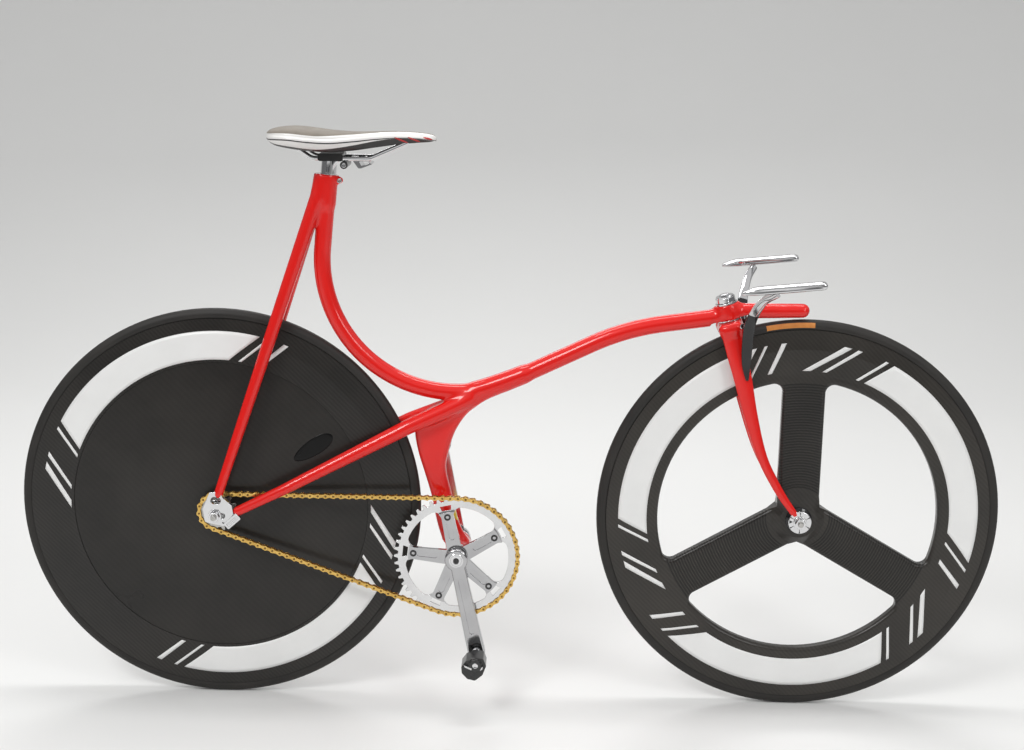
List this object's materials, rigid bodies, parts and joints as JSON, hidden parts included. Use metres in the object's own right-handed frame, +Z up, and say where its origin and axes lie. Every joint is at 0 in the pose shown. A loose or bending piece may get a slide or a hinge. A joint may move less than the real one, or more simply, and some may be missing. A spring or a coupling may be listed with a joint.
{
  "type": "track bicycle",
  "caption": "Steel track bicycle with a curved one-line frame, solid disc rear wheel, three-spoke front wheel and low blade handlebars.",
  "frame": {"origin": "middle of the saddle's top, where the rider sits", "axes": "+X forward, +Y to the rider's left, +Z up; the wheels' axles and the crank axle lie along Y"},
  "size_m": [1.6289, 0.302, 0.964],
  "materials": {
    "frame_red": "high gloss red enamel",
    "chrome": "bright chrome plate",
    "polished_alloy": "polished",
    "carbon": "satin lacquered carbon fibre",
    "tyre_rubber": "smooth tubular tread",
    "chain_gold": "gold plated chain",
    "steel": "plated steel",
    "saddle_cover": "grey-brown cover with white edges",
    "black_plastic": "satin black"
  },
  "bodies": {
    "frame": {"main_tube": "frame_red", "seat_tube": "frame_red", "nose_tube": "frame_red", "head_tube": "frame_red", "headset_races": "chrome", "bracket_fin": "frame_red", "bracket_shell": "frame_red", "bracket_cups": "polished_alloy", "chain_stay_left": "frame_red", "chain_stay_right": "frame_red", "seat_stay_left": "frame_red", "seat_stay_right": "frame_red", "dropout_left": "chrome", "dropout_right": "chrome", "tensioner_left": "polished_alloy", "tensioner_right": "polished_alloy", "rear_axle": "steel", "rear_axle_nuts": "steel", "chain": "chain_gold", "seat_post": "polished_alloy", "seat_clamp": "black_plastic", "seat_rails": "steel", "saddle": "saddle_cover"},
    "steering": {"fork_crown": "frame_red", "fork_blade_left": "frame_red", "fork_blade_right": "frame_red", "fork_end_left": "chrome", "fork_end_right": "chrome", "headset_locknut": "polished_alloy", "bar_post_left": "chrome", "bar_post_right": "chrome", "handle_left": "chrome", "handle_right": "chrome", "front_axle": "steel", "front_axle_nuts": "steel"},
    "front_wheel_set": {"front_wheel": "carbon", "front_tyre": "tyre_rubber", "front_hub": "polished_alloy"},
    "rear_wheel_set": {"rear_rim": "carbon", "rear_disc": "carbon", "rear_tyre": "tyre_rubber", "rear_hub": "polished_alloy", "rear_cog": "steel", "lockring": "steel"},
    "crankset": {"chainring": "polished_alloy", "crank_right": "polished_alloy", "crank_left": "polished_alloy", "crank_spindle": "steel", "pedal_axle_left": "steel", "pedal_axle_right": "steel"},
    "right_pedal": {"pedal_right": "black_plastic"},
    "left_pedal": {"pedal_left": "black_plastic"}
  },
  "joints": [
    {"name": "steering_turn", "type": "hinge", "parent": "frame", "child": "steering", "pos_m": [0.7292, 0, -0.63282], "axis": [-0.2672, 0, 0.9636], "range_deg": [-35, 35]},
    {"name": "front_wheel_spin", "type": "hinge", "parent": "steering", "child": "front_wheel_set", "pos_m": [0.761, 0, -0.624], "axis": [0, 1, 0], "continuous": true},
    {"name": "rear_wheel_spin", "type": "hinge", "parent": "frame", "child": "rear_wheel_set", "pos_m": [-0.2, 0, -0.624], "axis": [0, 1, 0], "continuous": true},
    {"name": "crank_spin", "type": "hinge", "parent": "frame", "child": "crankset", "pos_m": [0.196, 0, -0.694], "axis": [0, 1, 0], "continuous": true},
    {"name": "pedal_right_spin", "type": "hinge", "parent": "crankset", "child": "right_pedal", "pos_m": [0.23129, -0.093, -0.85518], "axis": [0, 1, 0], "continuous": true},
    {"name": "pedal_left_spin", "type": "hinge", "parent": "crankset", "child": "left_pedal", "pos_m": [0.16071, 0.093, -0.53282], "axis": [0, 1, 0], "continuous": true}
  ],
  "couplings": [
    {"joint": "crank_spin", "follows": "rear_wheel_spin", "ratio": 0.3}
  ]
}
